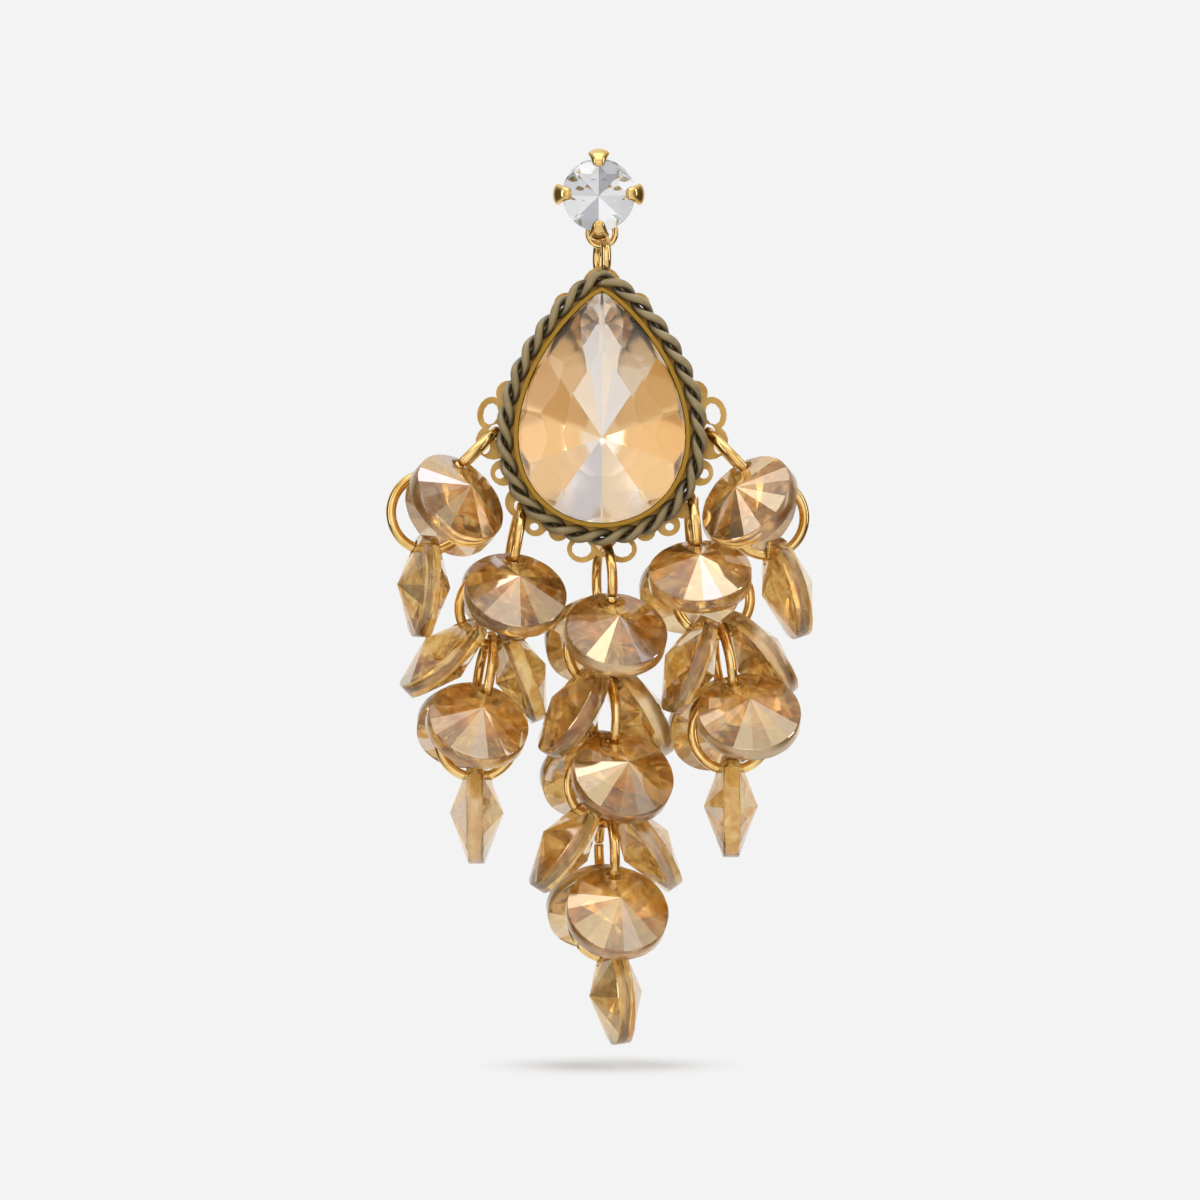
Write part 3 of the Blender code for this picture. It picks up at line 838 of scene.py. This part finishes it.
def strand_links(strand):
    """Centre, way down and way across of each link: a link hangs from the one above at the
    pitch, and its plane faces the side on even links and the front on odd ones, turned."""
    across, down, forward, leans, turns = STRANDS[strand]
    at = np.array((HANG_X + across * PEAR_WIDTH, HANG_Y, PEAR_TOP_Z - down * PEAR_HEIGHT))
    links = []
    run = LINK_RADIUS
    for index, (lean, turn) in enumerate(zip(leans, turns)):
        way_down = spin(spin(-UP, ACROSS, -forward), -FRONT, -lean)
        at = at + way_down * run
        level = unit(FRONT - way_down * np.dot(way_down, FRONT))
        if index % 2:
            level = np.cross(level, way_down)
        links.append((at, way_down, spin(level, way_down, turn)))
        run = LINK_PITCH
    return links


def drop_template(glass):
    """The drilled double cone.  Its band is a circle.  Each of the sixteen facets is a plane
    through the point, so a spot on it lies lower by the slope times the radius times the
    cosine of the angle from the facet's middle.  A hole goes through it beside the band."""
    band = glass.drop_girdle / 2
    wide = glass.drop_width / 2
    step = 2 * np.pi / DROP_FACETS
    angle = np.arange(4 * DROP_FACETS) * step / 4
    aside = angle % step - step / 2
    corner = math.cos(step / 2)
    slope = glass.drop_cone / (wide * corner)
    rows = []
    for radius, sink in ((DROP_TIP, 0.0), (wide - DROP_EDGE_INSET, 0.0), (wide, DROP_EDGE_SINK)):
        low = band + glass.drop_cone - slope * radius * np.cos(aside) - sink
        rows.append(np.stack((radius * np.cos(angle), radius * np.sin(angle), low), 1))
    upper = np.stack(rows)
    grid = np.concatenate((upper * (1, 1, -1), upper[::-1]))
    body = new_object("drop_blank", [(grid, False)], flat=True)
    drill = np.array((-1.0, 1.0))[:, None] * UP * glass.drop_width + ACROSS * DROP_ARM
    cutter = new_object("drop_drill", [tube(drill, DROP_HOLE_RADIUS, ACROSS)], flat=True)
    cut = body.modifiers.new("hole", "BOOLEAN")
    cut.solver = "EXACT"
    cut.object = cutter
    bpy.context.view_layer.update()
    graph = bpy.context.evaluated_depsgraph_get()
    mesh = bpy.data.meshes.new_from_object(body.evaluated_get(graph))
    bpy.data.objects.remove(body)
    bpy.data.objects.remove(cutter)
    return mesh


def aim(way):
    """Turns that point an object's -Z along a way, with its X level."""
    way = unit(way)
    return (math.acos(-way[2]), 0.0, math.atan2(way[0], -way[1]) + math.pi)


class EARRING_OT_stud(bpy.types.Operator):
    """Makes the stud's base, post, gallery, claws and loop, and dresses its stone"""

    bl_idname = "earring.stud"
    bl_label = "Stud"

    def execute(self, context):
        metal = context.scene.earring_metal
        glass = context.scene.earring_glass
        gold = plated_gold("polished_gold_plated_brass", metal.gold, metal.deep_gold, 0.14, 0.25)

        lathe = np.array(STUD_PROFILE)
        back = -FRONT
        shells = [tube(lathe[:, 1:] * MM * back, lathe[:, 0] * MM, ACROSS, sides=40, way=back)]

        slope = math.atan2(STUD_DEPTH, STUD_RADIUS)
        beside = (CLAW_SHANK + PRONG_PLAY) / math.sin(slope)
        gallery_y = STUD_GIRDLE_Y * STUD_GALLERY_SHARE
        share = (gallery_y + STUD_BASE_THICKNESS) / (STUD_GIRDLE_Y + STUD_BASE_THICKNESS)
        side = STUD_RADIUS * share + beside
        shells.append(ring(back * gallery_y, ACROSS, UP, side, STUD_GALLERY_WIRE))
        at = np.array((HANG_X, HANG_Y, -STUD_LOOP_DROP))
        shells.append(ring(at, ACROSS, UP, STUD_LOOP_RADIUS, STUD_LOOP_WIRE))

        # Claws: a route from the base past the girdle and over the crown, as distance from
        # the stone's axis and distance back, made smooth by cutting off its corners
        reach = STUD_RADIUS + SEAT_GAP + CLAW_BESIDE
        stand = (PRONG_TIP / 2 + SEAT_GAP) / math.cos(PRONG_LEAN)
        rise = (PRONG_REACH / 2) * math.tan(PRONG_LEAN) + stand
        tip = STUD_RADIUS - PRONG_REACH
        crown_y = STUD_GIRDLE_Y - STUD_GIRDLE / 2 - rise
        route = np.array(
            (
                (PRONG_ROOT, -STUD_BASE_THICKNESS / 2),
                (side, gallery_y),
                (reach, STUD_GIRDLE_Y + CLAW_BEND_BEHIND),
                (reach, STUD_GIRDLE_Y - CLAW_BEND_AHEAD),
                (tip + CLAW_TOE, crown_y),
                (tip, crown_y - CLAW_TOE_RISE),
            )
        )
        for _ in range(CLAW_CUTS):
            near = 0.75 * route[:-1] + 0.25 * route[1:]
            far = 0.25 * route[:-1] + 0.75 * route[1:]
            cut = np.stack((near, far), 1).reshape(-1, 2)
            route = np.concatenate((route[:1], cut, route[-1:]))
        run = np.concatenate(((0,), np.cumsum(np.linalg.norm(np.diff(route, axis=0), axis=1))))
        share, wide, high = np.array(CLAW_PROFILE).T
        broad = np.interp(run / run[-1], share, wide) * MM
        thick = np.interp(run / run[-1], share, high) * MM
        for quarter in range(4):
            way_out = spin(UP, back, 90 * quarter)
            beside_way = np.cross(way_out, FRONT)
            path = route[:, :1] * way_out + route[:, 1:] * back
            shells.append(tube(path, np.stack((broad, thick), 1), beside_way))
        new_piece("stud_claws", shells, "stud", gold, "stud_setting")

        foils = (
            (0.3, linear("#d1d2d5")),
            (0.5, tuple(glass.clear)),
            (0.62, linear("#d9d9dc")),
            (0.75, linear("#ffffff")),
        )
        stone = foil_backed_stone(
            "silver_foiled_crystal",
            linear("#ffffff"),
            foils,
            foil_from=STUD_GIRDLE_Y + STUD_FOIL_BEHIND,
            variety=7.3,
            blur=0.05,
        )
        dress("stud_stone", stone)
        return {"FINISHED"}


class EARRING_OT_pendant(bpy.types.Operator):
    """Softens and dresses the pierced plate, and dresses the pear stone"""

    bl_idname = "earring.pendant"
    bl_label = "Plate and pear stone"

    def execute(self, context):
        metal = context.scene.earring_metal
        glass = context.scene.earring_glass
        plate = dress("pendant_plate", satin_plate_gold(metal))
        weld = plate.modifiers.new("weld", "WELD")
        weld.merge_threshold = PLATE_WELD
        faces = plate.modifiers.new("faces", "DECIMATE")
        faces.decimate_type = "DISSOLVE"
        faces.angle_limit = PLATE_FLAT
        soft = plate.modifiers.new("soft_edges", "BEVEL")
        soft.width = metal.edge
        soft.segments = 2
        soft.limit_method = "ANGLE"
        soft.angle_limit = PLATE_SHARP
        foils = (
            (0.25, linear("#c4b5b4")),
            (0.35, linear("#ecedf2")),
            (0.42, tuple(glass.peach)),
            (0.54, linear("#fff6ea")),
            (0.63, linear("#fbe6c6")),
            (0.77, linear("#e6c083")),
        )
        stone = foil_backed_stone(
            "gold_foiled_champagne_glass",
            linear("#fffaf4"),
            foils,
            foil_from=PEAR_GIRDLE_Y - PEAR_FOIL_AHEAD,
            variety=9.0,
            blur=0.1,
        )
        dress("pear_stone", stone)
        return {"FINISHED"}


class EARRING_OT_border(bpy.types.Operator):
    """Makes the two lacquered wires of the twisted border"""

    bl_idname = "earring.border"
    bl_label = "Twisted border"

    def execute(self, context):
        metal = context.scene.earring_metal
        lacquer = khaki_lacquer(metal)
        # Helix: a point of the pear's outline, moved round it by the turn in a small circle
        steps = TWIST_STEPS * TWIST_TURNS
        path = pear_outline(steps, TWIST_OFFSET)
        along = unit(np.roll(path, -1, 0) - np.roll(path, 1, 0))
        out = np.stack((-along[:, 1], np.zeros(steps), along[:, 0]), 1)
        centre = np.stack(
            (HANG_X + path[:, 0], np.full(steps, TWIST_Y), PEAR_Z + path[:, 1]), 1
        )
        for letter, start in (("a", 0.0), ("b", np.pi)):
            turn = start - 2 * np.pi * TWIST_TURNS * np.arange(steps) / steps
            away = np.cos(turn)[:, None] * out + np.sin(turn)[:, None] * FRONT
            helix = centre + TWIST_SPREAD * away
            wire = tube(helix, metal.twist_wire / 2, away, sides=16, closed=True)
            # How far out from the border's middle each point lies; the lacquer paints shade on
            # the inner side, where the two wires meet
            depth = np.linalg.norm(wire[0] - centre[:, None], axis=2).ravel()
            new_piece(
                "border_wire_" + letter,
                [wire],
                "pendant",
                lacquer,
                "twist_wire_" + letter,
                marks={"outward": depth / (TWIST_SPREAD + metal.twist_wire / 2)},
            )
        return {"FINISHED"}


class EARRING_OT_rings(bpy.types.Operator):
    """Makes the top ring and the jump rings of the five strands"""

    bl_idname = "earring.rings"
    bl_label = "Jump rings"

    def execute(self, context):
        metal = context.scene.earring_metal
        gold = plated_gold("drawn_gold_plated_wire", metal.gold, metal.deep_gold, 0.12, 0.15)
        at = np.array((HANG_X, HANG_Y, TOP_RING_Z))
        ahead = spin(FRONT, UP, TOP_RING_TURN)
        top = ring(
            at, -UP, ahead, TOP_RING_RADIUS, metal.link_wire, metal.link_cut, TOP_RING_SLIT
        )
        new_piece("top_jump_ring", [top], "ring", gold, "top_ring")
        for strand in STRANDS:
            shells = []
            for index, (centre, way_down, across) in enumerate(strand_links(strand)):
                shells.append(
                    ring(
                        centre,
                        way_down,
                        across,
                        LINK_RADIUS,
                        metal.link_wire,
                        metal.link_cut,
                        LINK_SLIT + LINK_SLIT_STEP * index,
                    )
                )
            new_piece(
                "jump_rings_" + strand,
                shells,
                "pendant",
                gold,
                "chain_" + strand,
            )
        return {"FINISHED"}


class EARRING_OT_drops(bpy.types.Operator):
    """Makes the pointed glass drops and hangs them on their links"""

    bl_idname = "earring.drops"
    bl_label = "Glass drops"

    def execute(self, context):
        glass = context.scene.earring_glass
        amber = half_mirrored_glass(glass)
        template = drop_template(glass)
        local = np.empty(len(template.vertices) * 3)
        template.vertices.foreach_get("co", local)
        local = local.reshape(-1, 3)
        number, upright, rim = facet_numbers(template, glass)
        template.polygons.foreach_set("use_smooth", upright)
        chance = np.random.default_rng(DROP_SEED)
        for strand in STRANDS:
            links = strand_links(strand)
            for count, (index, side, hang, swing) in enumerate(DROPS[strand], 1):
                middle, turn = drop_place(links[index], side, hang, swing)
                mesh = template.copy()
                mesh.name = f"glass_drop_{strand}_{count}"
                mesh.vertices.foreach_set("co", (local @ turn + middle).ravel())
                # A chance value for each facet gives its tint and its share of mirror
                shades = chance.random(2 * DROP_FACETS)[number]
                facet = mesh.attributes.new("facet", "FLOAT", "FACE")
                mirror = np.where(upright, DROP_UPRIGHT_MIRROR, 1.0)
                facet.data.foreach_set("value", shades * mirror)
                band = mesh.attributes.new("band", "FLOAT", "FACE")
                band.data.foreach_set("value", rim.astype(float))
                mesh.materials.clear()
                mesh.materials.append(amber)
                drop = bpy.data.objects.new(mesh.name, mesh)
                context.scene.collection.objects.link(drop)
                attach(drop, "pendant")
                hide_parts(f"drop_{strand}_{count}")
        bpy.data.meshes.remove(template)
        return {"FINISHED"}


class EARRING_OT_stage(bpy.types.Operator):
    """Sets the floor, the light and the camera"""

    bl_idname = "earring.stage"
    bl_label = "Stage"

    def execute(self, context):
        scene = context.scene
        stage = scene.earring_stage
        paper, tree = new_material("pale_paper_sweep")
        place = add_node(tree, "ShaderNodeTexCoord").outputs["Object"]
        # The paper shines evenly, apart from a small patch under the lowest drop, which is
        # true paper and takes its shadow
        far = add_node(
            tree, "ShaderNodeVectorMath", {0: place, 1: PATCH_MIDDLE}, operation="DISTANCE"
        )
        near = add_node(
            tree,
            "ShaderNodeMapRange",
            {"Value": far.outputs["Value"], "From Min": PATCH_EDGE, "From Max": PATCH_CORE},
        )
        glow = add_node(tree, "ShaderNodeEmission", {"Color": tuple(stage.floor)})
        matt = add_node(tree, "ShaderNodeBsdfDiffuse", {"Color": linear("#ebebeb")})
        shader = add_node(
            tree,
            "ShaderNodeMixShader",
            {0: near.outputs["Result"], 1: glow.outputs[0], 2: matt.outputs[0]},
        )
        give_output(tree, shader)

        # Round sweep: a flat floor, a quarter circle and a wall, turned about the vertical,
        # and closed above by a quarter of an oval
        quarter = np.linspace(0, np.pi / 2, 17)
        rise, reach = np.sin(quarter), np.cos(quarter)
        low_r, low_z = SWEEP_FLOOR + SWEEP_BEND * rise, SWEEP_BEND - SWEEP_BEND * reach
        top_width = SWEEP_FLOOR + SWEEP_BEND - SWEEP_TOP_HOLE
        top_r, top_z = SWEEP_TOP_HOLE + top_width * reach, SWEEP_WALL + SWEEP_BEND * rise
        radius = np.concatenate(((SWEEP_FLOOR_HOLE,), low_r, top_r))
        height = np.concatenate(((0.0,), low_z, top_z)) + STAGE_FLOOR_Z
        grid, closed = tube(height[:, None] * UP, radius, ACROSS, sides=64, way=UP)
        sweep = new_object("paper_sweep", [(grid[:, ::-1], closed)])
        sweep.data.materials.append(paper)
        sweep.visible_glossy = False

        # White tent that darkens far to each side, which draws the edges of the metal
        world = bpy.data.worlds.new("studio")
        scene.world = world
        world.use_nodes = True
        tree = world.node_tree
        tree.nodes.clear()
        way = add_node(tree, "ShaderNodeTexCoord").outputs["Generated"]
        parts = add_node(tree, "ShaderNodeSeparateXYZ", {"Vector": way})
        aside = add_node(tree, "ShaderNodeMath", {0: parts.outputs["X"]}, operation="ABSOLUTE")
        tent = add_node(
            tree,
            "ShaderNodeValToRGB",
            {"Fac": aside.outputs[0]},
            stops=((0.55, linear("#f4f1ec")), (0.9, linear("#5c5142"))),
        )
        sky = add_node(
            tree, "ShaderNodeBackground", {"Color": tent.outputs["Color"], "Strength": 1.03}
        )
        add_node(tree, "ShaderNodeOutputWorld", {"Surface": sky.outputs[0]})

        middle = np.array(VIEW_MIDDLE)
        for name, (place, width, height, power) in LIGHTS.items():
            light = bpy.data.lights.new(name, "AREA")
            light.shape = "RECTANGLE"
            light.size = width
            light.size_y = height
            light.energy = power
            lamp = bpy.data.objects.new(name, light)
            lamp.location = place
            lamp.rotation_euler = aim(middle - np.array(place))
            lamp.visible_camera = False
            scene.collection.objects.link(lamp)

        data = bpy.data.cameras.new("camera")
        data.lens = stage.lens
        data.sensor_width = 36.0
        data.clip_start = 0.01
        data.clip_end = 10.0
        camera = bpy.data.objects.new("camera", data)
        away = stage.view_width * stage.lens / data.sensor_width
        camera.location = middle + FRONT * away
        camera.rotation_euler = (math.pi / 2, 0.0, 0.0)
        scene.collection.objects.link(camera)
        scene.camera = camera
        scene.view_settings.view_transform = "Standard"
        scene.cycles.max_bounces = 12
        scene.cycles.diffuse_bounces = 2
        scene.cycles.caustics_reflective = False
        return {"FINISHED"}


class EARRING_PT_panel(bpy.types.Panel):
    """The earring's pieces, in the order in which they are made"""

    bl_idname = "EARRING_PT_panel"
    bl_label = "Chandelier earring"
    bl_space_type = "VIEW_3D"
    bl_region_type = "UI"
    bl_category = "Earring"

    def draw(self, context):
        for group in ("earring_metal", "earring_glass", "earring_stage"):
            values = getattr(context.scene, group)
            for name in values.__annotations__:
                self.layout.prop(values, name)
        for maker in MAKERS:
            self.layout.operator(maker.bl_idname)


GROUPS = (EarringMetal, EarringGlass, EarringStage)
MAKERS = (
    EARRING_OT_stud,
    EARRING_OT_pendant,
    EARRING_OT_border,
    EARRING_OT_rings,
    EARRING_OT_drops,
    EARRING_OT_stage,
)


def register():
    for made in (*GROUPS, *MAKERS, EARRING_PT_panel):
        bpy.utils.register_class(made)
    bpy.types.Scene.earring_metal = bpy.props.PointerProperty(type=EarringMetal)
    bpy.types.Scene.earring_glass = bpy.props.PointerProperty(type=EarringGlass)
    bpy.types.Scene.earring_stage = bpy.props.PointerProperty(type=EarringStage)


def unregister():
    del bpy.types.Scene.earring_metal
    del bpy.types.Scene.earring_glass
    del bpy.types.Scene.earring_stage
    for made in reversed((*GROUPS, *MAKERS, EARRING_PT_panel)):
        bpy.utils.unregister_class(made)


def main():
    register()
    bpy.ops.earring.stud()
    bpy.ops.earring.pendant()
    bpy.ops.earring.border()
    bpy.ops.earring.rings()
    bpy.ops.earring.drops()
    bpy.ops.earring.stage()


if __name__ == "__main__":
    main()
